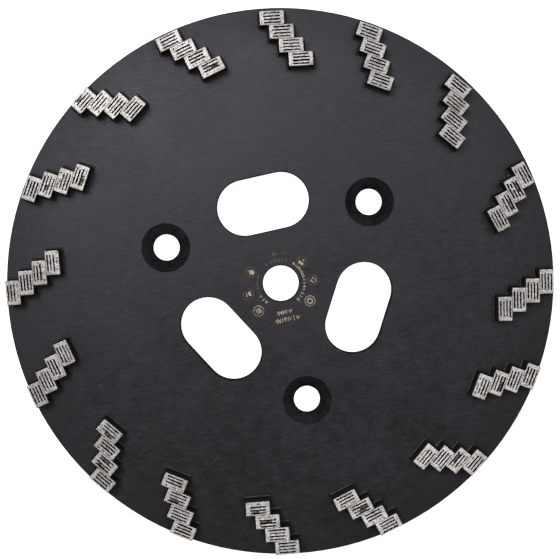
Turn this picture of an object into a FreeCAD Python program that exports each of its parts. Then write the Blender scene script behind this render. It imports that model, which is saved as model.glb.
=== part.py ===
"""Diamond floor-grinding disc: a bolt-on steel body that carries rows of brazed segments.

Units are millimetres and degrees. The origin is the centre of the flat back face, which is
bolted against the machine, and +Z points to the working side, where the segments stand.
Bearings and row numbers run anticlockwise, seen from the working side, with +X at zero.
"""

import FreeCAD, Part

import math
import os

# Steel body
DISC_DIAMETER = 250.0
DISC_THICKNESS = 6.0
EDGE_BREAK = 0.4  # chamfer on the rim, the bore and the slots, on both faces
BORE_DIAMETER = 16.5

# Screw holes, for M10 flat-head screws
SCREW_COUNT = 3
SCREW_CIRCLE_DIAMETER = 110.0
SCREW_HOLE_DIAMETER = 12.0
COUNTERSINK_DIAMETER = 22.4
COUNTERSINK_ANGLE = 90.0
FIRST_SCREW_BEARING = 42.7

# Round-ended slots, midway between the screws, long side along the circle
SLOT_LENGTH = 42.5
SLOT_WIDTH = 25.5
SLOT_CIRCLE_RADIUS = 37.3
FIRST_SLOT_BEARING = FIRST_SCREW_BEARING + 180.0 / SCREW_COUNT

# Segments: sintered blocks in staggered rows near the rim
ROW_COUNT = 16
SEGMENTS_PER_ROW = 4
SEGMENT_LENGTH = 11.0
SEGMENT_WIDTH = 6.15
SEGMENT_HEIGHT = 10.0
ROW_RADIUS = 110.7  # to the middle of a row
FIRST_ROW_BEARING = -158.8
ROW_TILT = 5.0  # turn of a segment's long side from the circle
STAGGER = 3.97  # each segment's step along its long side from the one inside it
PITCH = 6.27  # each segment's step outward, across its long side

# Each row was set by hand, so it lies a little off its even place:
# (degrees along the circle, degrees of tilt, millimetres outward)
ROW_OFFSETS = [
    (0.0, -1.5, 0.5),
    (0.7, 0.0, 0.1),
    (-0.9, -2.5, 0.2),
    (-0.7, 1.5, 0.0),
    (-0.4, 1.8, 0.0),
    (0.3, 1.5, -0.3),
    (0.5, -2.0, 0.2),
    (-1.2, -1.1, -0.2),
    (-0.3, 3.0, -0.2),
    (1.2, 1.3, -0.7),
    (1.5, -2.0, -0.3),
    (0.1, -0.4, -0.6),
    (0.3, -0.5, 0.0),
    (0.1, -0.4, 0.9),
    (-0.5, 0.4, 0.1),
    (-0.3, 1.6, 0.9),
]

# Grooves in a segment's wearing face, along its long side
GROOVE_COUNT = 4
GROOVE_LENGTH = 7.2
GROOVE_WIDTH = 0.6
GROOVE_DEPTH = 1.5
GROOVE_PITCH = 1.4

# Brazing alloy: a thin film under each segment and a fillet round its foot
BRAZE_FILM = 0.15
FILLET_HEIGHT = 1.2
FILLET_INSET = 0.1  # how far the fillet's slope is carried on into the segment before it is cut

CUT_MARGIN = 1.0  # how far a cutting tool runs past the face that it opens on

UP = FreeCAD.Vector(0, 0, 1)


def around(radius, bearing, height=0.0):
    """The point at this radius and bearing."""
    angle = math.radians(bearing)
    return FreeCAD.Vector(radius * math.cos(angle), radius * math.sin(angle), height)


def through_cutter(outline):
    """A tool that cuts the closed outline, drawn at height zero, right through the disc."""
    face = Part.Face(outline)
    face.translate(FreeCAD.Vector(0, 0, -CUT_MARGIN))
    return face.extrude(UP * (DISC_THICKNESS + 2 * CUT_MARGIN))


def slot_outline(grown=0.0):
    """A round-ended slot round the origin, along X, each side moved out by grown."""
    radius = SLOT_WIDTH / 2 + grown
    reach = (SLOT_LENGTH - SLOT_WIDTH) / 2
    right_top = FreeCAD.Vector(reach, radius, 0)
    right_bottom = FreeCAD.Vector(reach, -radius, 0)
    left_top = FreeCAD.Vector(-reach, radius, 0)
    left_bottom = FreeCAD.Vector(-reach, -radius, 0)
    return Part.Wire(
        [
            Part.LineSegment(left_bottom, right_bottom).toShape(),
            Part.Arc(right_bottom, FreeCAD.Vector(reach + radius, 0, 0), right_top).toShape(),
            Part.LineSegment(right_top, left_top).toShape(),
            Part.Arc(left_top, FreeCAD.Vector(-reach - radius, 0, 0), left_bottom).toShape(),
        ]
    )


def slot_cutter():
    """The slot with its edge breaks, lying round the origin."""
    cutter = through_cutter(slot_outline())
    for face_height, direction in ((0.0, 1), (DISC_THICKNESS, -1)):
        mouth = slot_outline(EDGE_BREAK)
        mouth.translate(UP * face_height)
        neck = slot_outline()
        neck.translate(UP * (face_height + direction * EDGE_BREAK))
        cutter = cutter.fuse(Part.makeLoft([mouth, neck], True, True))
    return cutter


def bore_cutter():
    """The centre bore with its edge breaks."""
    radius = BORE_DIAMETER / 2
    length = DISC_THICKNESS + 2 * CUT_MARGIN
    cutter = Part.makeCylinder(radius, length, FreeCAD.Vector(0, 0, -CUT_MARGIN))
    wide = radius + EDGE_BREAK
    top = FreeCAD.Vector(0, 0, DISC_THICKNESS - EDGE_BREAK)
    cutter = cutter.fuse(Part.makeCone(wide, radius, EDGE_BREAK))
    return cutter.fuse(Part.makeCone(radius, wide, EDGE_BREAK, top))


def screw_hole_cutter():
    """A clearance hole with a countersink that opens on the working side."""
    narrow = SCREW_HOLE_DIAMETER / 2
    wide = COUNTERSINK_DIAMETER / 2
    slope = math.tan(math.radians(COUNTERSINK_ANGLE / 2))
    depth = (wide - narrow) / slope
    mouth = wide + CUT_MARGIN * slope
    start = FreeCAD.Vector(0, 0, DISC_THICKNESS - depth)
    length = DISC_THICKNESS + 2 * CUT_MARGIN
    hole = Part.makeCylinder(narrow, length, FreeCAD.Vector(0, 0, -CUT_MARGIN))
    return hole.fuse(Part.makeCone(narrow, mouth, depth + CUT_MARGIN, start))


def steel_body():
    """The round plate with its bore, screw holes, slots and broken rim."""
    plate = Part.makeCylinder(DISC_DIAMETER / 2, DISC_THICKNESS)
    rims = [edge for edge in plate.Edges if isinstance(edge.Curve, Part.Circle)]
    plate = plate.makeChamfer(EDGE_BREAK, rims)
    cutters = [bore_cutter()]
    for number in range(SCREW_COUNT):
        turn = 360.0 / SCREW_COUNT * number
        hole = screw_hole_cutter()
        hole.translate(around(SCREW_CIRCLE_DIAMETER / 2, FIRST_SCREW_BEARING + turn))
        cutters.append(hole)
        slot = slot_cutter()
        slot.translate(FreeCAD.Vector(0, -SLOT_CIRCLE_RADIUS, 0))
        slot.rotate(FreeCAD.Vector(0, 0, 0), UP, FIRST_SLOT_BEARING + turn + 90)
        cutters.append(slot)
    return plate.cut(cutters)


def centred_box(length, width, height):
    """A box that stands on height zero, centred on the origin."""
    corner = FreeCAD.Vector(-length / 2, -width / 2, 0)
    return Part.makeBox(length, width, height, corner)


def segment():
    """One sintered block with the grooves in its wearing face, long side along X."""
    block = centred_box(SEGMENT_LENGTH, SEGMENT_WIDTH, SEGMENT_HEIGHT)
    grooves = []
    for number in range(GROOVE_COUNT):
        side = (number - (GROOVE_COUNT - 1) / 2) * GROOVE_PITCH
        groove = centred_box(GROOVE_LENGTH, GROOVE_WIDTH, GROOVE_DEPTH + CUT_MARGIN)
        groove.translate(FreeCAD.Vector(0, side, SEGMENT_HEIGHT - GROOVE_DEPTH))
        grooves.append(groove)
    return block.cut(grooves)


def rectangle(length, width, height):
    """A closed rectangle at this height, centred on the Z axis."""
    corners = [
        FreeCAD.Vector(length / 2, width / 2, height),
        FreeCAD.Vector(-length / 2, width / 2, height),
        FreeCAD.Vector(-length / 2, -width / 2, height),
        FreeCAD.Vector(length / 2, -width / 2, height),
    ]
    return Part.makePolygon(corners + corners[:1])


def braze_pad():
    """The alloy under and round one segment, as a pad whose sides slope at 45 degrees."""
    spread = 2 * FILLET_HEIGHT
    inset = 2 * FILLET_INSET
    foot = rectangle(SEGMENT_LENGTH + spread, SEGMENT_WIDTH + spread, 0)
    crest_height = FILLET_HEIGHT + FILLET_INSET
    crest = rectangle(SEGMENT_LENGTH - inset, SEGMENT_WIDTH - inset, crest_height)
    return Part.makeLoft([foot, crest], True, True)


def lay_in_row(shape, place, row):
    """Moves a segment or its pad from the origin to its place in a row."""
    shift, tilt, outward = ROW_OFFSETS[row]
    steps = place - (SEGMENTS_PER_ROW - 1) / 2
    bearing = FIRST_ROW_BEARING + 360.0 / ROW_COUNT * row + shift
    shape.translate(FreeCAD.Vector(STAGGER * steps, -PITCH * steps, 0))
    shape.rotate(FreeCAD.Vector(0, 0, 0), UP, bearing + 90 + ROW_TILT + tilt)
    shape.translate(around(ROW_RADIUS + outward, bearing, DISC_THICKNESS))
    return shape


def segment_row(row):
    """The segments of one row, standing on their braze film."""
    blocks = [lay_in_row(segment(), place, row) for place in range(SEGMENTS_PER_ROW)]
    for block in blocks:
        block.translate(UP * BRAZE_FILM)
    return blocks


def braze_fillet(row, blocks):
    """One body of alloy that joins a row of segments to the flat of the plate."""
    pads = [lay_in_row(braze_pad(), place, row) for place in range(SEGMENTS_PER_ROW)]
    flat_of_plate = Part.makeCylinder(DISC_DIAMETER / 2 - EDGE_BREAK, 2 * DISC_THICKNESS)
    return pads[0].fuse(pads[1:]).common(flat_of_plate).cut(blocks).removeSplitter()


def export(name, shape):
    """Writes one node and stops the run if a solid of it is bad."""
    if not shape.isValid() or min(solid.Volume for solid in shape.Solids) <= 0:
        raise ValueError("bad shape in " + name)
    shape.exportStep("parts/" + name + ".step")
    print(name, len(shape.Solids), "solid", round(shape.Volume, 1), "mm3")


os.makedirs("parts", exist_ok=True)
export("steel_body", steel_body())
for row_index in range(ROW_COUNT):
    row_name = "{:02d}".format(row_index + 1)
    row_blocks = segment_row(row_index)
    export("segment_row_" + row_name, Part.makeCompound(row_blocks))
    export("braze_fillet_" + row_name, braze_fillet(row_index, row_blocks))
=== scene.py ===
import math

import bmesh
import bpy
import numpy as np
from mathutils import Matrix, Vector


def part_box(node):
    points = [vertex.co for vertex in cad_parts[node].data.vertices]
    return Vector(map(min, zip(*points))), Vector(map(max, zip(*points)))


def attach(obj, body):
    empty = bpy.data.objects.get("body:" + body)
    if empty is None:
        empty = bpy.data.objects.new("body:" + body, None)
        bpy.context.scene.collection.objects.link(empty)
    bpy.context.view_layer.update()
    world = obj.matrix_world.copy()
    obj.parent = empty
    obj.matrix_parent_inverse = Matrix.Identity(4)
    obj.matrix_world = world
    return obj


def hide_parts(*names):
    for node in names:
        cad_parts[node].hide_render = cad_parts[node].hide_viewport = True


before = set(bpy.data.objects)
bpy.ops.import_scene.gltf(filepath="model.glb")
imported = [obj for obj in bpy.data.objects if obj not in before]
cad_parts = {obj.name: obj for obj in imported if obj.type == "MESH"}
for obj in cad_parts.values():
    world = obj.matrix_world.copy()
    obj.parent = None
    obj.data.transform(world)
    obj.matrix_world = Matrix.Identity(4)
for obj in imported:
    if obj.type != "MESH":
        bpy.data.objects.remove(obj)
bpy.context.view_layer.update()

# Lengths are in millimetres and angles in degrees until a mesh, a light or the camera is made.
# A bearing runs anticlockwise from +X.
MM = 0.001
ROWS = sorted(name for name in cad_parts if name.startswith("segment_row_"))
PLATE_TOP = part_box("steel_body")[1].z / MM
PLATE_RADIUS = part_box("steel_body")[1].x / MM

# Camera
CAMERA_PLACE = (-7.5, 31.7, PLATE_TOP + 620.0)
CAMERA_AIM = (-0.43, 1.83, PLATE_TOP)
SENSOR = 36.0
LENS = 87.33

# Lights: a soft box high on each side
LAMPS = {"key_light": (129.0, 4.7), "fill_light": (40.0, 1.3)}  # bearing and power in watts
LAMP_DISTANCE = 1200.0
LAMP_TILT = 21.0  # from straight above
LAMP_SIZE = 400.0

# The room's brightness. Heights in it are sines of the angle above the horizon.
CEILING = 0.31  # straight above
CEILING_EDGE = 0.5  # the height where the ceiling starts to brighten
DIM = 0.05  # below that height
WALLS = 0.28  # what the walls add at their brightest
WALLS_SPAN = (0.02, 0.12, 0.8)  # the heights where the walls' glow starts, peaks and ends
BACKDROP = 1.0  # what the camera sees behind the object

# Floor: a light table
FLOOR_SIZE = 6000.0
FLOOR_GLOW = 1.0
FLOOR_DROP = 0.05  # below the disc's back

# The plate's coating, which is rougher toward the rim and darker there; the darkening is painted
# shade
PLATE_ROUGHNESS = 0.43
RIM_ROUGHNESS = 0.49
# The coating's colour is darkened toward the rim as painted shade.
RIM_PAINTED_SHADE = 0.5  # share of the coating's colour that is lost at the rim
RIM_BAND = (105.0, PLATE_RADIUS)  # the radii where the change starts and ends
# How far the noise is turned for the grinding streaks, and for the fainter ones across them
STREAK_TURN = -8
CROSSING_TURN = 14

# Segments
SEGMENT_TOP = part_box(ROWS[0])[1].z / MM
SEGMENT_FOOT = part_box(ROWS[0])[0].z / MM
SAME_HEIGHT = 0.01
SAME_PLACE = 0.001
SEGMENT_SEED = 1000
COLUMN_PITCH = 0.28  # between points along the wearing face
FIRST_COLUMN = 0.42  # from a segment's end
LAST_COLUMN = 0.4  # from its other end, at least
POINT_SHIFT = (0.02, 0.012)  # how far the face's points stray, along and across
FACE_PITTING = 0.012
EDGE_ROUND = 0.14
EDGE_MARGIN = 0.45  # from a segment's side to the line inside its rounded edge
EDGE_WANDER = 0.035
CHIP_REACH = 0.55
CHIP_SLOPE = 0.9
WALL_LEVELS = 5
WALL_PINCH = 0.008  # share by which a wall lies inside the face's outline
WALL_WANDER = 0.004

# The grooves in a segment's wearing face
GROOVE_SIDES = (-2.1, -0.7, 0.7, 2.1)
GROOVE_SIDE_WANDER = 0.03
GROOVE_HALF_LENGTH = 3.6
GROOVE_END_SHIFT = 0.3
GROOVE_HALF_WIDTH = (0.27, 0.40)
GROOVE_WIDTH_WANDER = 0.035
GROOVE_WIDTH_LIMITS = (0.1, 0.5)
GROOVE_DEPTH = 1.5
GROOVE_OPEN = 0.85  # share of the depth that is free of residue, its wander and its limits
GROOVE_OPEN_WANDER = 0.12
GROOVE_OPEN_LIMITS = (0.6, 1.1)
GROOVE_WALL_SLOPE = 0.06
GROOVE_FLOOR_LEAST = 0.05
CLOGGED_DEPTH = 0.12
CLOGGING = 2.6  # in standard deviations: the higher, the fewer clogged places
FAINT_CLOGGING = -0.2
FAINT_WIDTH = 0.6
FAINT_GROOVE_SHARE = 0.4  # of the segments, whose first or last groove is faint
NO_GROOVE = -1

# The crests between grooves, some of which are worn down along part of their length
WORN_RIDGE_SHARE = 0.10
WORN_RIDGE_DROP = 0.45
WORN_RIDGE_WANDER = 0.03
WORN_RIDGE_SHIFT = 1.6
WORN_RIDGE_HALF_LENGTH = (1.0, 2.6)
WORN_RIDGE_LIMIT = GROOVE_HALF_LENGTH - 0.2

# The materials of a segment's faces
# Faces inside a groove get the residue material, whose black is partly painted shade.
METAL, PAINTED, RESIDUE_AND_SHADE, STAINED = range(4)
RESIDUE_AND_SHADE_DEPTH = 0.8  # a face with a corner deeper than this is inside a groove

# Braze fillets
FILLET_SEED = 7000
FILLET_REACH = 1.2
FILLET_REACH_SHARE = 0.92
FILLET_REACH_WANDER = 0.09
FILLET_REACH_LIMITS = (0.75, 1.35)
FILLET_RISE_SHARE = 0.85
FILLET_RISE_WANDER = 0.10
FILLET_RISE_LIMITS = (0.6, 1.3)
FILLET_SMOOTHING = 5
FILLET_STEP = 0.45
FILLET_SECTION = 6
FILLET_FAN = 4
FILLET_HOLLOW = FILLET_REACH * 1.15  # kept free on both sides of a hollow corner
FILLET_TUCK = 0.3  # from the foot's outline to the fillet's back, inside the segments
FILLET_OVERLAP = 0.08  # from the foot's outline to where the fillet's curve starts, inside too
FILLET_SINK = 0.02  # below the plate's face
FILLET_LIMIT = PLATE_RADIUS - 0.45  # the fillets end before the rim's edge break

# Laser marks
MARKS_SEED = 41
MARK_LIFT = 0.03  # above the plate's face
MARK_SINK = 0.02  # below it
CLEAR, FAINT = range(2)  # the materials of a mark
RING_PLACES = ((13.9, 46), (14.8, 6), (15.5, -31), (16.2, -129), (15.5, -162), (14.6, 159))
RING_RADIUS = 2.5
RING_LINE = 0.3
RING_SIDES = 48
DOT_SIDES = 12
CLEAR_RINGS = (2, 3)
SIGN_LINE = 0.33
SIGN_RADIUS = (0.22, 0.55)  # inner and outer, as shares of the sign's size
SIGN_SIZES = (0.85, 1.1)
SIGN_GAPS = (0.95, 1.25)
# The arcs of small signs: first and last bearing, size and material
ARC_RADIUS = 10.8
ARCS = (
    (58, 22, 1.2, CLEAR),
    (18, -18, 1.3, CLEAR),
    (-24, -48, 1.6, CLEAR),
    (128, 68, 1.7, FAINT),
    (206, 152, 1.2, FAINT),
    (232, 212, 1.7, CLEAR),
)
# The two straight rows below the bore: radius, bearing, width, count and size
LINES = ((13.2, -83, 5.4, 4, 1.9), (16.6, -79, 9.6, 6, 2.1))
LINE_FACING = -77
ARROW = ((14.4, 83), (13.9, 109))  # radius and bearing of its tail and its tip
ARROW_BARB = 2.2
ARROW_LEAN = 24

# Colours: linear red, green and blue, and alpha
# The pits' black, which is also what the coating is darkened to at the rim as painted shade.
COATING_PIT_AND_RIM_SHADE = (0.001, 0.001, 0.001, 1)
COATING_DARK = (0.0015, 0.0014, 0.0016, 1)
COATING_PALE = (0.030, 0.028, 0.0325, 1)
COATING_GLINT = (0.94, 0.89, 1.0, 1)
PAINT_DARK = (0.003, 0.0028, 0.003, 1)
PAINT_PALE = (0.018, 0.0165, 0.018, 1)
# The residue's black also stands in for the shade inside the grooves: partly painted shade.
RESIDUE_AND_SHADE_BLACK = (0.004, 0.003, 0.003, 1)
RESIDUE_BROWN = (0.014, 0.009, 0.007, 1)
RIDGE_BROWN = (0.06, 0.043, 0.036, 1)
RIDGE_METAL = (0.34, 0.27, 0.23, 1)
METAL_GREY = (0.80, 0.77, 0.75, 1)
METAL_BRIGHT = (0.99, 0.965, 0.95, 1)
METAL_WORN = (0.50, 0.46, 0.435, 1)
METAL_STAIN = (0.50, 0.37, 0.28, 1)
METAL_PORE = (0.13, 0.10, 0.09, 1)
CLEAR_DULL = (0.12, 0.105, 0.08, 1)
CLEAR_BRIGHT = (0.66, 0.60, 0.46, 1)
FAINT_DULL = (0.03, 0.027, 0.02, 1)
FAINT_BRIGHT = (0.20, 0.18, 0.12, 1)
TABLE_WHITE = (0.9, 0.9, 0.9, 1)
WHITE = (1, 1, 1, 1)


# ---------------------------------------------------------------- materials


def new_material(name):
    """An empty material with its shader, as (material, tree, shader)."""
    material = bpy.data.materials.new(name)
    material.use_nodes = True
    tree = material.node_tree
    tree.nodes.clear()
    shader = tree.nodes.new("ShaderNodeBsdfPrincipled")
    output = tree.nodes.new("ShaderNodeOutputMaterial")
    tree.links.new(shader.outputs["BSDF"], output.inputs["Surface"])
    return material, tree, shader


def node(tree, kind, inputs=None, **settings):
    """Adds a node. Each input is a value, or an output of another node to link."""
    made = tree.nodes.new(kind)
    for name, value in settings.items():
        setattr(made, name, value)
    for socket, value in (inputs or {}).items():
        if isinstance(value, bpy.types.NodeSocket):
            tree.links.new(value, made.inputs[socket])
        else:
            made.inputs[socket].default_value = value
    return made


def millimetres(tree):
    """The surface's place in the object's frame, in millimetres."""
    place = node(tree, "ShaderNodeTexCoord").outputs["Object"]
    inputs = {0: place, "Scale": 1 / MM}
    return node(tree, "ShaderNodeVectorMath", inputs, operation="SCALE").outputs["Vector"]


def stretched(tree, place, turn, scale):
    """The place turned about Z and scaled along each axis."""
    inputs = {"Vector": place, "Rotation": (0, 0, math.radians(turn)), "Scale": scale}
    return node(tree, "ShaderNodeMapping", inputs).outputs["Vector"]


def cloud(tree, place, scale, detail=2.0, roughness=0.5):
    """Smooth noise from 0 to 1, about scale lumps a millimetre."""
    inputs = {"Vector": place, "Scale": scale, "Detail": detail, "Roughness": roughness}
    return node(tree, "ShaderNodeTexNoise", inputs).outputs["Fac"]


def remap(tree, value, source, result):
    """Maps the source range of a value to the result range, and clamps."""
    inputs = {0: value, 1: source[0], 2: source[1], 3: result[0], 4: result[1]}
    return node(tree, "ShaderNodeMapRange", inputs).outputs[0]


def times(tree, value, factor):
    """A value times a factor."""
    return node(tree, "ShaderNodeMath", {0: value, 1: factor}, operation="MULTIPLY").outputs[0]


def total(tree, value, *others):
    """A value plus all the others."""
    for other in others:
        value = node(tree, "ShaderNodeMath", {0: value, 1: other}, operation="ADD").outputs[0]
    return value


def vector(tree, operation, *places):
    """One step of vector arithmetic."""
    inputs = dict(enumerate(places))
    return node(tree, "ShaderNodeVectorMath", inputs, operation=operation).outputs["Vector"]


def blend(tree, share, first, second):
    """A colour between first and second."""
    inputs = {0: share, 6: first, 7: second}
    return node(tree, "ShaderNodeMix", inputs, data_type="RGBA").outputs[2]


def feed(tree, shader, **sources):
    """Links outputs to the shader's sockets: base_color feeds Base Color, and so on."""
    for name, source in sources.items():
        tree.links.new(source, shader.inputs[name.replace("_", " ").title()])


def relief(tree, shader, height, depth):
    """Feeds a height to the shader's normal, where a height of 1 is this deep."""
    bump = node(tree, "ShaderNodeBump", {"Height": height, "Distance": depth * MM, "Strength": 1.0})
    feed(tree, shader, normal=bump.outputs["Normal"])


def plate_material():
    """Semi-gloss black coating over ground steel: streaks, mottling, pits and fine grain, with
    painted shade toward the rim.
    """
    material, tree, shader = new_material("black_coated_steel")
    place = millimetres(tree)
    wander = cloud(tree, place, 0.035)
    sideways = node(tree, "ShaderNodeCombineXYZ", {1: remap(tree, wander, (0, 1), (-9, 9))})
    warped = vector(tree, "ADD", place, sideways.outputs[0])
    along_streaks = stretched(tree, warped, STREAK_TURN, (0.16, 1.5, 1))
    along_crossing = stretched(tree, warped, CROSSING_TURN, (0.22, 1.9, 1))
    along_dust = stretched(tree, warped, STREAK_TURN, (0.5, 1.5, 1))
    streaks = cloud(tree, along_streaks, 1.0, detail=3.0, roughness=0.6)
    crossing = cloud(tree, along_crossing, 1.0)
    dust = cloud(tree, along_dust, 0.6, detail=4.0, roughness=0.75)
    patches = cloud(tree, place, 0.03, detail=3.0)
    mottle = cloud(tree, place, 0.16, detail=4.0, roughness=0.6)
    grain = cloud(tree, place, 2.2, detail=3.0, roughness=0.7)
    pits = cloud(tree, place, 0.9, detail=1.0)
    patchy = remap(tree, patches, (0.42, 0.6), (0.1, 0.8))
    lines = total(tree, streaks, times(tree, crossing, patchy))
    radius = node(tree, "ShaderNodeVectorMath", {0: place}, operation="LENGTH").outputs["Value"]
    rim = remap(tree, radius, RIM_BAND, (0, 1))
    roughness = total(
        tree,
        remap(tree, lines, (0.35, 1.1), (-0.05, 0.05)),
        remap(tree, mottle, (0.3, 0.7), (-0.03, 0.03)),
        remap(tree, grain, (0.3, 0.7), (-0.04, 0.04)),
        remap(tree, rim, (0, 1), (PLATE_ROUGHNESS, RIM_ROUGHNESS)),
    )
    shade = total(tree, times(tree, lines, 0.25), dust, times(tree, mottle, 0.5))
    pale = blend(tree, remap(tree, shade, (0.78, 1.16), (0, 1)), COATING_DARK, COATING_PALE)
    # Painted shade: the coating's colour is darkened toward the rim.
    shaded_toward_rim = blend(tree, times(tree, rim, RIM_PAINTED_SHADE), pale, COATING_PIT_AND_RIM_SHADE)
    colour = blend(tree, remap(tree, pits, (0.67, 0.71), (0, 0.85)), shaded_toward_rim, COATING_PIT_AND_RIM_SHADE)
    feed(tree, shader, base_color=colour, roughness=roughness)
    relief(tree, shader, total(tree, times(tree, lines, 0.5), times(tree, grain, 0.35)), 0.042)
    shader.inputs["Specular Tint"].default_value = COATING_GLINT
    return material


def paint_material():
    """The same coating where it covers the cast braze and the segments' rough sides."""
    material, tree, shader = new_material("black_coated_braze")
    place = millimetres(tree)
    lumps = cloud(tree, place, 1.1, detail=4.0, roughness=0.6)
    grain = cloud(tree, place, 5.0, detail=3.0, roughness=0.7)
    colour = blend(tree, remap(tree, lumps, (0.35, 0.7), (0, 1)), PAINT_DARK, PAINT_PALE)
    roughness = remap(tree, grain, (0.3, 0.7), (0.36, 0.50))
    feed(tree, shader, base_color=colour, roughness=roughness)
    relief(tree, shader, total(tree, lumps, times(tree, grain, 0.4)), 0.12)
    return material


def groove_residue_and_shade_material():
    """The inside of a groove: black grinding residue, made darker still as painted shade in the
    recess.
    """
    material, tree, shader = new_material("groove_residue_and_shade")
    place = millimetres(tree)
    stain = cloud(tree, place, 0.7, detail=3.0)
    crumbs = cloud(tree, place, 4.0, detail=3.0, roughness=0.7)
    # Black residue with brown stains; the black is partly painted shade in the groove.
    colour = blend(tree, remap(tree, stain, (0.5, 0.68), (0, 1)), RESIDUE_AND_SHADE_BLACK, RESIDUE_BROWN)
    feed(tree, shader, base_color=colour, roughness=remap(tree, crumbs, (0.3, 0.7), (0.7, 0.95)))
    shader.inputs["Specular IOR Level"].default_value = 0.15
    relief(tree, shader, crumbs, 0.15)
    return material


def worn_ridge_material():
    """A crest worn below the face: metal under brown residue."""
    material, tree, shader = new_material("stained_ridge")
    stain = cloud(tree, millimetres(tree), 1.3, detail=3.0)
    colour = blend(tree, remap(tree, stain, (0.4, 0.6), (0, 1)), RIDGE_BROWN, RIDGE_METAL)
    feed(tree, shader, base_color=colour, roughness=remap(tree, stain, (0.4, 0.6), (0.7, 0.5)))
    shader.inputs["Metallic"].default_value = 0.6
    relief(tree, shader, stain, 0.2)
    return material


def ground_metal_material():
    """The segments' wearing face: bare sintered metal, ground along the circle, with fine pores."""
    material, tree, shader = new_material("ground_sintered_metal")
    place = millimetres(tree)
    pores = cloud(tree, place, 1.7, detail=3.0, roughness=0.6)
    specks = cloud(tree, place, 4.2, roughness=0.6)
    lumps = cloud(tree, place, 0.85, detail=4.0, roughness=0.75)
    stains = cloud(tree, place, 0.3, detail=3.0, roughness=0.6)
    blocks = cloud(tree, place, 0.09, detail=1.0)
    porous = total(tree, pores, times(tree, specks, 0.6))
    open_share = remap(tree, porous, (0.54, 0.72), (1, 0))
    bright = blend(tree, remap(tree, blocks, (0.35, 0.65), (0, 1)), METAL_GREY, METAL_BRIGHT)
    worn = blend(tree, remap(tree, lumps, (0.36, 0.56), (0.7, 0)), bright, METAL_WORN)
    tinted = blend(tree, remap(tree, stains, (0.55, 0.75), (0, 0.8)), worn, METAL_STAIN)
    outward = vector(tree, "MULTIPLY", place, (1, 1, 0))
    feed(
        tree,
        shader,
        base_color=blend(tree, open_share, tinted, METAL_PORE),
        roughness=remap(tree, open_share, (0, 1), (0.54, 0.8)),
        metallic=remap(tree, open_share, (0, 1), (1, 0.5)),
        tangent=vector(tree, "NORMALIZE", outward),
    )
    shader.inputs["Anisotropic"].default_value = 0.8
    height = total(tree, times(tree, specks, 0.4), lumps, times(tree, open_share, -1))
    relief(tree, shader, height, 0.04)
    return material


def mark_material(name, dull, bright):
    """Steel bared by a laser: patchy, between two colours."""
    material, tree, shader = new_material(name)
    burn = cloud(tree, millimetres(tree), 1.1, detail=3.0, roughness=0.7)
    colour = blend(tree, remap(tree, burn, (0.38, 0.62), (0, 1)), dull, bright)
    feed(tree, shader, base_color=colour, roughness=remap(tree, burn, (0.3, 0.7), (0.4, 0.6)))
    shader.inputs["Metallic"].default_value = 0.9
    relief(tree, shader, burn, 0.02)
    return material


def floor_material():
    """A white light table."""
    material, tree, shader = new_material("light_table")
    shader.inputs["Base Color"].default_value = TABLE_WHITE
    shader.inputs["Roughness"].default_value = 0.8
    shader.inputs["Emission Color"].default_value = WHITE
    shader.inputs["Emission Strength"].default_value = FLOOR_GLOW
    return material


# ---------------------------------------------------------------- meshes


def add_piece(name, points, faces, materials, slots=None, smooth=None):
    """A mesh object from points in millimetres."""
    mesh = bpy.data.meshes.new(name)
    mesh.from_pydata((np.asarray(points, float) * MM).tolist(), [], faces)
    for material in materials:
        mesh.materials.append(material)
    if slots is not None:
        mesh.polygons.foreach_set("material_index", slots)
    if smooth is not None:
        mesh.polygons.foreach_set("use_smooth", smooth)
    mesh.update()
    piece = bpy.data.objects.new(name, mesh)
    bpy.context.scene.collection.objects.link(piece)
    return piece


def polar(radius, bearing):
    """The point at this radius and bearing."""
    angle = math.radians(bearing)
    return np.array([radius * math.cos(angle), radius * math.sin(angle)])


# ---------------------------------------------------------------- segments


def islands(mesh):
    """The separate solids of a bmesh, each as a set of vertices."""
    waiting = set(mesh.verts)
    found = []
    while waiting:
        island = {waiting.pop()}
        frontier = list(island)
        while frontier:
            vert = frontier.pop()
            for link in vert.link_edges:
                other = link.other_vert(vert)
                if other not in island:
                    island.add(other)
                    frontier.append(other)
        waiting -= island
        found.append(island)
    return found


def segment_places(node_name):
    """The segments of a row, from the outer one inward, each as (centre, along, across, half
    length, half width). Along runs anticlockwise and across runs outward, both unit vectors."""
    source = bmesh.new()
    source.from_mesh(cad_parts[node_name].data)
    bmesh.ops.remove_doubles(source, verts=source.verts, dist=SAME_PLACE * MM)
    places = []
    for island in islands(source):
        low = [vert for vert in island if vert.co.z / MM < SEGMENT_FOOT + SAME_HEIGHT]
        foot = sorted((vert.co.xy / MM for vert in low), key=tuple)
        centre = sum(foot, Vector((0, 0))) / len(foot)
        corner = foot[0]
        others = sorted(foot[1:], key=lambda point: (point - corner).length)
        short_side = others[0] - corner
        long_side = others[1] - corner
        along = long_side.normalized()
        if along.dot(Vector((-centre.y, centre.x))) < 0:
            along = -along
        across = Vector((along.y, -along.x))
        places.append((centre, along, across, long_side.length / 2, short_side.length / 2))
    source.free()
    return sorted(places, key=lambda place: -place[0].length)


def wandering(rng, count, amount, reach=3):
    """A random line of about this amount, smoothed over reach samples."""
    raw = rng.normal(0, 1, count + 2 * reach)
    return amount * np.convolve(raw, np.ones(reach) / math.sqrt(reach), "same")[reach:-reach]


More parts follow.
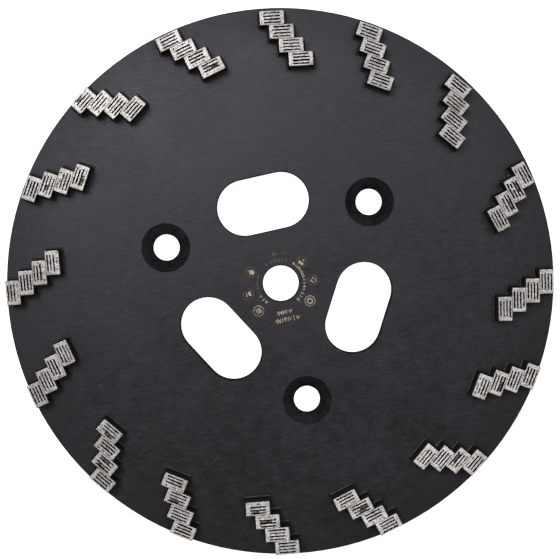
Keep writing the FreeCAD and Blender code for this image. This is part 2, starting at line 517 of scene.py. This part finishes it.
def groove_lines(rng, along, side, faint, crests):
    """One groove as four lines across it: its lip, both sides of its floor, and its other lip.
    The lips lie as deep as the crests that they meet."""
    count = len(along)
    start = -GROOVE_HALF_LENGTH + rng.uniform(-GROOVE_END_SHIFT, GROOVE_END_SHIFT)
    end = GROOVE_HALF_LENGTH + rng.uniform(-GROOVE_END_SHIFT, GROOVE_END_SHIFT)
    share = np.clip(GROOVE_OPEN + wandering(rng, count, GROOVE_OPEN_WANDER), *GROOVE_OPEN_LIMITS)
    clogged = wandering(rng, count, 1.0, 5) > (FAINT_CLOGGING if faint else CLOGGING)
    depth = np.where(clogged, CLOGGED_DEPTH, GROOVE_DEPTH * share)
    depth = np.where((along > start) & (along < end), depth, 0.0)
    width = rng.uniform(*GROOVE_HALF_WIDTH) * (FAINT_WIDTH if faint else 1.0)
    width = np.clip(width + wandering(rng, count, GROOVE_WIDTH_WANDER), *GROOVE_WIDTH_LIMITS)
    middle = side + wandering(rng, count, GROOVE_SIDE_WANDER)
    floor = np.maximum(width - GROOVE_WALL_SLOPE, GROOVE_FLOOR_LEAST)
    depth = np.maximum(depth, np.maximum(*crests))
    return [
        (middle - width, crests[0]),
        (middle - floor, depth),
        (middle + floor, depth),
        (middle + width, crests[1]),
    ]


def crest_drop(rng, along):
    """How far the crest between two grooves is worn down. Most crests aren't worn at all."""
    worn = rng.random() < WORN_RIDGE_SHARE
    middle = rng.uniform(-WORN_RIDGE_SHIFT, WORN_RIDGE_SHIFT)
    half_length = rng.uniform(*WORN_RIDGE_HALF_LENGTH)
    drop = WORN_RIDGE_DROP + wandering(rng, len(along), WORN_RIDGE_WANDER)
    inside = (np.abs(along) < WORN_RIDGE_LIMIT) & (np.abs(along - middle) < half_length)
    return np.where(inside & worn, drop, 0.0)


def face_lines(rng, along, half_width):
    """The wearing face as lines along the segment: each is (side, drop below the top) by column."""
    flat = np.zeros(len(along))

    def plain(side, drop=0.0):
        return flat + side, flat + drop

    rim = half_width - EDGE_ROUND
    margin = half_width - EDGE_MARGIN
    last = len(GROOVE_SIDES) - 1
    faint = rng.choice((0, last)) if rng.random() < FAINT_GROOVE_SHARE else NO_GROOVE
    crests = [flat] + [crest_drop(rng, along) for _ in range(last)] + [flat]
    lines = [plain(-half_width, EDGE_ROUND), plain(-rim), plain(-margin)]
    for number, side in enumerate(GROOVE_SIDES):
        if number:
            between = (side + GROOVE_SIDES[number - 1]) / 2
            lines.append((between + flat, crests[number]))
        lines += groove_lines(rng, along, side, number == faint, crests[number : number + 2])
    return lines + [plain(margin), plain(rim), plain(half_width, EDGE_ROUND)]


def wear_edges(rng, along, side, drop):
    """Deepens the drops a little along the face's edges, and more at its chipped corners."""
    rows, columns = drop.shape
    for row in (0, 1, rows - 2, rows - 1):
        drop[row] += np.abs(wandering(rng, columns, EDGE_WANDER, 2))
    for column in (0, 1, columns - 2, columns - 1):
        drop[:, column] += np.abs(wandering(rng, rows, EDGE_WANDER, 2))
    for end in (0, -1):
        for flank in (0, -1):
            chip = rng.uniform(0.0, CHIP_REACH)
            away = np.hypot(along - along[flank, end], side - side[flank, end])
            drop += np.clip(chip - away, 0, None) * CHIP_SLOPE


def face_grid(rng, half_length, half_width):
    """The wearing face as a grid of points, rows across by columns along, and their drops."""
    inner = np.arange(-half_length + FIRST_COLUMN, half_length - LAST_COLUMN, COLUMN_PITCH)
    ends = [half_length - EDGE_ROUND, half_length]
    columns = np.concatenate([[-ends[1], -ends[0]], inner, ends])
    lines = face_lines(rng, columns, half_width)
    side = np.array([line[0] for line in lines])
    drop = np.array([line[1] for line in lines])
    along = np.tile(columns, (len(lines), 1))
    drop[:, [0, -1]] = EDGE_ROUND
    wear_edges(rng, along, side, drop)
    drop += np.abs(rng.normal(0, FACE_PITTING, drop.shape))
    along += rng.normal(0, POINT_SHIFT[0], along.shape)
    side += rng.normal(0, POINT_SHIFT[1], side.shape)
    along = np.clip(along, -half_length, half_length)
    side = np.clip(side, -half_width, half_width)
    return np.stack([along, side, SEGMENT_TOP - drop], -1), drop


def face_slot(drops):
    """The material of a face from how deep its corners are."""
    if max(drops) > RESIDUE_AND_SHADE_DEPTH:
        return RESIDUE_AND_SHADE
    return STAINED if sorted(drops)[1] > WORN_RIDGE_DROP / 2 else METAL


def grid_outline(rows, columns):
    """The numbers of a grid's outer points, in order round it."""
    outline = [(0, column) for column in range(columns)]
    outline += [(row, columns - 1) for row in range(1, rows)]
    outline += [(rows - 1, column) for column in range(columns - 2, -1, -1)]
    outline += [(row, 0) for row in range(rows - 2, 0, -1)]
    return [row * columns + column for row, column in outline]


def wall_rings(rng, outline):
    """The outlines of a segment's uneven wall, from below its wearing face down to its foot."""
    rings = []
    for level in range(1, WALL_LEVELS + 1):
        share = level / WALL_LEVELS
        bulge = wandering(rng, len(outline), WALL_WANDER)[:, None]
        if level == WALL_LEVELS:
            bulge = 0.0
        ring = outline.copy()
        ring[:, 2] = outline[:, 2] * (1 - share) + SEGMENT_FOOT * share
        ring[:, :2] *= np.minimum(1 - WALL_PINCH + bulge, 1.0)
        rings.append(ring)
    return rings


def segment_mesh(rng, place):
    """One segment as (points, faces, slots, smooth)."""
    centre, along_axis, across_axis, half_length, half_width = place
    grid, drop = face_grid(rng, half_length, half_width)
    rows, columns = drop.shape
    faces = []
    slots = []
    for row in range(rows - 1):
        for column in range(columns - 1):
            corners = [(row, column), (row, column + 1), (row + 1, column + 1), (row + 1, column)]
            faces.append([r * columns + c for r, c in corners])
            slots.append(face_slot([drop[corner] for corner in corners]))
    smooth = [False] * len(faces)
    points = grid.reshape(-1, 3)
    upper = grid_outline(rows, columns)
    for ring in wall_rings(rng, points[upper]):
        lower = [len(points) + i for i in range(len(ring))]
        for i in range(len(ring)):
            j = (i + 1) % len(ring)
            faces.append([upper[j], upper[i], lower[i], lower[j]])
            smooth.append(True)
        points = np.concatenate([points, ring])
        upper = lower
    faces.append(upper[::-1])
    smooth.append(False)
    slots += [PAINTED] * (len(faces) - len(slots))
    world = points.copy()
    for axis in (0, 1):
        sideways = along_axis[axis] * points[:, 0] + across_axis[axis] * points[:, 1]
        world[:, axis] = centre[axis] + sideways
    # Along, across and up are left-handed, so the faces are turned over.
    return world, [face[::-1] for face in faces], slots, smooth


def add_segment_row(name, places, materials):
    """The detailed segments of one row, as one piece."""
    points = []
    faces = []
    slots = []
    smooth = []
    start = 0
    for number, place in enumerate(places):
        rng = np.random.default_rng(SEGMENT_SEED * ROWS.index(name) + number)
        more_points, more_faces, more_slots, more_smooth = segment_mesh(rng, place)
        points.append(more_points)
        faces += [[start + i for i in face] for face in more_faces]
        slots += more_slots
        smooth += more_smooth
        start += len(more_points)
    piece_name = name.replace("segment_row", "segments")
    piece = add_piece(piece_name, np.concatenate(points), faces, materials, slots, smooth)
    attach(piece, "root")
    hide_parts(name)


# ---------------------------------------------------------------- braze fillets


def row_outline(places):
    """The corners of a row's staircase outline, anticlockwise, in its own along and across axes."""
    origin, along, across = places[0][:3]
    right = []
    left = []
    for centre, _, _, half_length, half_width in reversed(places):
        middle_u = (centre - origin).dot(along)
        middle_v = (centre - origin).dot(across)
        bottom = middle_v - half_width
        top = middle_v + half_width
        if right:
            joint = (right[-1][1] + bottom) / 2
            right[-1] = (right[-1][0], joint)
            left[-1] = (left[-1][0], joint)
            bottom = joint
        right += [(middle_u + half_length, bottom), (middle_u + half_length, top)]
        left += [(middle_u - half_length, bottom), (middle_u - half_length, top)]
    return right + left[::-1]


def cross(first, second):
    """Positive where the second direction lies anticlockwise of the first."""
    return first[0] * second[1] - first[1] * second[0]


def outline_samples(corners):
    """Points along a closed outline with the direction that leads straight away from it.
    A convex corner gets a fan of directions, and a hollow one a single slanting one."""
    samples = []
    count = len(corners)
    for i in range(count):
        before, here, after, following = (np.array(corners[(i + k) % count]) for k in (-1, 0, 1, 2))
        length = np.linalg.norm(after - here)
        come = (here - before) / np.linalg.norm(here - before)
        leave = (after - here) / length
        first = np.array([come[1], -come[0]])
        second = np.array([leave[1], -leave[0]])
        if cross(come, leave) > 0:
            for step in range(FILLET_FAN + 1):
                angle = math.atan2(first[1], first[0]) + math.pi / 2 * step / FILLET_FAN
                samples.append((here, np.array([math.cos(angle), math.sin(angle)])))
            margin_start = FILLET_STEP
        else:
            samples.append((here, first + second))
            margin_start = FILLET_HOLLOW
        margin_end = FILLET_STEP if cross(leave, following - after) > 0 else FILLET_HOLLOW
        run = length - margin_start - margin_end
        steps = max(1, int(run / FILLET_STEP))
        for step in range(steps + 1):
            reach = margin_start + run * step / steps
            if 0 < reach < length:
                samples.append((here + leave * reach, second))
    return samples


def fillet_section():
    """A fillet's section as (offset, height): its back in millimetres inside the outline, then
    its hollow curve in shares of its reach and its rise."""
    section = [(-FILLET_TUCK, -FILLET_SINK), (-FILLET_TUCK, 1.0)]
    for step in range(FILLET_SECTION + 1):
        angle = math.pi / 2 * step / FILLET_SECTION
        section.append((1 - math.cos(angle), 1 - math.sin(angle)))
    return section


def fillet_size(rng, count, share, wander, limits):
    """A fillet's reach or rise at each of its sections."""
    size = FILLET_REACH * (share + wandering(rng, count, wander, FILLET_SMOOTHING))
    return np.clip(size, *limits)


def add_fillet(name, places, material):
    """The painted braze collar round one row: a hollow curve swept round its foot."""
    origin, along, across = places[0][:3]
    samples = outline_samples(row_outline(places))
    rng = np.random.default_rng(FILLET_SEED + ROWS.index(name))
    count = len(samples)
    reach = fillet_size(rng, count, FILLET_REACH_SHARE, FILLET_REACH_WANDER, FILLET_REACH_LIMITS)
    rise = fillet_size(rng, count, FILLET_RISE_SHARE, FILLET_RISE_WANDER, FILLET_RISE_LIMITS)
    section = fillet_section()
    points = []
    for number, (foot, away) in enumerate(samples):
        for offset, height in section:
            distance = offset
            if offset >= 0:
                distance = (reach[number] + FILLET_OVERLAP) * offset - FILLET_OVERLAP
            spot = foot + away * distance
            flat = origin + along * float(spot[0]) + across * float(spot[1])
            flat = flat.normalized() * min(flat.length, FILLET_LIMIT)
            lift = max(rise[number] * height, -FILLET_SINK)
            points.append((flat.x, flat.y, PLATE_TOP + lift))
    size = len(section)
    faces = []
    for i in range(count):
        j = (i + 1) % count
        for k in range(size):
            m = (k + 1) % size
            faces.append([i * size + k, j * size + k, j * size + m, i * size + m])
    piece_name = name.replace("segment_row", "fillet")
    piece = add_piece(piece_name, points, faces, [material], smooth=[True] * len(faces))
    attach(piece, "root")
    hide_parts(name.replace("segment_row", "braze_fillet"))


# ---------------------------------------------------------------- laser marks


class Marks:
    """Thin raised shapes on the plate, gathered into one mesh. New shapes get the current slot."""

    def __init__(self):
        self.points = []
        self.faces = []
        self.slots = []
        self.slot = CLEAR

    def prism(self, outline, hole=None):
        """A flat shape with straight sides. With a hole, both outlines have as many points."""
        loops = [outline] if hole is None else [outline, hole]
        count = len(outline)
        base = len(self.points)
        top = base + count
        inner_base = base + 2 * count
        inner_top = base + 3 * count
        for loop in loops:
            for height in (PLATE_TOP - MARK_SINK, PLATE_TOP + MARK_LIFT):
                self.points += [(x, y, height) for x, y in loop]
        for i in range(count):
            j = (i + 1) % count
            self.faces.append([base + i, base + j, top + j, top + i])
            if hole is not None:
                self.faces.append([inner_base + j, inner_base + i, inner_top + i, inner_top + j])
                self.faces.append([top + i, top + j, inner_top + j, inner_top + i])
                self.faces.append([base + j, base + i, inner_base + i, inner_base + j])
        if hole is None:
            self.faces.append([top + i for i in range(count)])
            self.faces.append([base + i for i in reversed(range(count))])
        self.slots += [self.slot] * (len(self.faces) - len(self.slots))

    def polygon(self, centre, radius, sides, turn=0.0, inner=None):
        """A regular polygon, or a band between two of them."""

        def loop(size):
            corners = (polar(size, turn + 360.0 / sides * i) for i in range(sides))
            return [(centre[0] + x, centre[1] + y) for x, y in corners]

        self.prism(loop(radius), None if inner is None else loop(inner))

    def stroke(self, start, end, width):
        """A straight stroke."""
        along = (end - start) / np.linalg.norm(end - start)
        side = np.array([-along[1], along[0]]) * width / 2
        self.prism([start - side, end - side, end + side, start + side])


def turned(centre, bearing, right, up):
    """A point right and up of centre, where up leads away from the bore at this bearing."""
    out = polar(1.0, bearing)
    clockwise = np.array([out[1], -out[0]])
    return centre + clockwise * right + out * up


def ring_glyph(marks, number, centre, bearing):
    """A plain geometric sign inside a ring."""

    def at(right, up):
        return turned(centre, bearing, right, up)

    if number == 0:
        marks.prism([at(-1.1, -1.5), at(1.1, -1.5), at(1.4, -0.2), at(-1.4, -0.2)])
        marks.polygon(at(0, 0.9), 0.5, DOT_SIDES)
    elif number == 1:
        marks.stroke(at(-1.3, 0.3), at(0, -1.1), 0.55)
        marks.stroke(at(0, -1.1), at(1.3, 0.3), 0.55)
        marks.stroke(at(-1.0, 1.2), at(1.0, 1.2), 0.4)
    elif number == 2:
        marks.polygon(centre, 1.6, 6, turn=bearing, inner=0.85)
    elif number == 3:
        marks.polygon(centre, 1.6, 4, turn=bearing + 20, inner=1.0)
        marks.polygon(centre, 0.5, DOT_SIDES)
    elif number == 4:
        marks.prism([at(-1.3, -1.1), at(1.3, -1.1), at(0.8, 0.1), at(-0.8, 0.1)])
        marks.stroke(at(-1.0, 0.9), at(1.0, 0.9), 0.5)
    else:
        marks.prism([at(-0.8, -1.5), at(0.8, -1.5), at(1.2, 0.2), at(0, 1.5), at(-1.2, 0.2)])


def small_sign(marks, rng, centre, bearing, size):
    """A bar, a leaning pair of bars, a triangle or a diamond, about this large."""

    def at(right, up):
        return turned(centre, bearing, right * size, up * size)

    kind = rng.integers(4)
    if kind == 0:
        marks.stroke(at(0, -0.5), at(0, 0.5), SIGN_LINE)
    elif kind == 1:
        marks.stroke(at(-0.35, -0.5), at(-0.05, 0.5), SIGN_LINE)
        marks.stroke(at(0.1, -0.5), at(0.4, 0.5), SIGN_LINE)
    else:
        inner, outer = SIGN_RADIUS
        marks.polygon(centre, outer * size, kind + 1, turn=bearing, inner=inner * size)


def sign_arc(marks, rng, first, last, size, slot):
    """Small signs along an arc round the bore."""
    marks.slot = slot
    bearing = first
    while bearing > last:
        spot = polar(ARC_RADIUS, bearing)
        small_sign(marks, rng, spot, bearing, size * rng.uniform(*SIGN_SIZES))
        bearing -= math.degrees(size / ARC_RADIUS) * rng.uniform(*SIGN_GAPS)


def sign_line(marks, rng, radius, bearing, width, count, size):
    """A straight row of small signs below the bore."""
    centre = polar(radius, bearing)
    for i in range(count):
        spot = turned(centre, LINE_FACING, width * (i / (count - 1) - 0.5), 0)
        small_sign(marks, rng, spot, LINE_FACING, size)


def add_marks(materials):
    """Rings with plain signs, a turning arrow and rows of small signs round the bore."""
    marks = Marks()
    rng = np.random.default_rng(MARKS_SEED)
    for number, (radius, bearing) in enumerate(RING_PLACES):
        centre = polar(radius, bearing)
        marks.slot = CLEAR if number in CLEAR_RINGS else FAINT
        marks.polygon(centre, RING_RADIUS, RING_SIDES, inner=RING_RADIUS - RING_LINE)
        marks.slot = CLEAR
        ring_glyph(marks, number, centre, bearing)
    for line in LINES:
        sign_line(marks, rng, *line)
    for arc in ARCS:
        sign_arc(marks, rng, *arc)
    marks.slot = FAINT
    tail, tip = (polar(*end) for end in ARROW)
    marks.stroke(tail, tip, SIGN_LINE)
    back = Vector(tail - tip).normalized()
    for lean in (-ARROW_LEAN, ARROW_LEAN):
        barb = Matrix.Rotation(math.radians(lean), 2) @ back
        marks.stroke(tip, tip + np.array(barb) * ARROW_BARB, SIGN_LINE)
    piece = add_piece("laser_marks", marks.points, marks.faces, materials, marks.slots)
    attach(piece, "root")


# ---------------------------------------------------------------- stage


def aim(thing, place, target):
    """Puts a camera or a light at a place and turns it to a target, with +Y up in its view."""
    back = (Vector(place) - Vector(target)).normalized()
    right = Vector((0, 1, 0)).cross(back).normalized()
    thing.location = Vector(place) * MM
    thing.rotation_euler = Matrix((right, back.cross(right), back)).transposed().to_euler()
    bpy.context.scene.collection.objects.link(thing)


def add_camera():
    """The camera, nearly straight above the disc."""
    camera = bpy.data.objects.new("camera", bpy.data.cameras.new("camera"))
    camera.data.sensor_width = SENSOR
    camera.data.lens = LENS
    aim(camera, CAMERA_PLACE, CAMERA_AIM)
    bpy.context.scene.camera = camera


def add_lights():
    """The soft boxes."""
    reach = LAMP_DISTANCE * math.sin(math.radians(LAMP_TILT))
    height = LAMP_DISTANCE * math.cos(math.radians(LAMP_TILT))
    for name, (bearing, power) in LAMPS.items():
        lamp = bpy.data.objects.new(name, bpy.data.lights.new(name, "AREA"))
        lamp.data.shape = "DISK"
        lamp.data.size = LAMP_SIZE * MM
        lamp.data.energy = power
        aim(lamp, (*polar(reach, bearing), height), (0, 0, 0))


def add_room():
    """A room with a bright ceiling and dim walls, and a white backdrop for the camera."""
    room = bpy.data.worlds.new("room")
    room.use_nodes = True
    tree = room.node_tree
    direction = node(tree, "ShaderNodeTexCoord").outputs["Generated"]
    height = node(tree, "ShaderNodeSeparateXYZ", {0: direction}).outputs["Z"]
    above = remap(tree, height, (CEILING_EDGE, 1), (DIM, CEILING))
    foot, peak, end = WALLS_SPAN
    rising = remap(tree, height, (foot, peak), (0, 1))
    around = times(tree, rising, remap(tree, height, (peak, end), (WALLS, 0)))
    seen = node(tree, "ShaderNodeLightPath").outputs["Is Camera Ray"]
    strength = remap(tree, seen, (0, 1), (total(tree, above, around), BACKDROP))
    background = tree.nodes["Background"]
    background.inputs["Color"].default_value = WHITE
    tree.links.new(strength, background.inputs["Strength"])
    bpy.context.scene.world = room


def add_floor():
    """The light table under the disc, which neither lights it nor shows in its gloss."""
    half = FLOOR_SIZE / 2
    sides = ((-half, -half), (half, -half), (half, half), (-half, half))
    corners = [(x, y, -FLOOR_DROP) for x, y in sides]
    floor = add_piece("floor", corners, [[0, 1, 2, 3]], [floor_material()])
    floor.visible_diffuse = False
    floor.visible_glossy = False


bpy.context.scene.view_settings.view_transform = "Standard"
add_camera()
add_lights()
add_room()
add_floor()

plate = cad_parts["steel_body"]
plate.data.materials.clear()
plate.data.materials.append(plate_material())

paint = paint_material()
segment_materials = [ground_metal_material(), paint, groove_residue_and_shade_material(), worn_ridge_material()]
for row_name in ROWS:
    row_places = segment_places(row_name)
    add_segment_row(row_name, row_places, segment_materials)
    add_fillet(row_name, row_places, paint)

clear_mark = mark_material("laser_mark", CLEAR_DULL, CLEAR_BRIGHT)
faint_mark = mark_material("faint_laser_mark", FAINT_DULL, FAINT_BRIGHT)
add_marks([clear_mark, faint_mark])
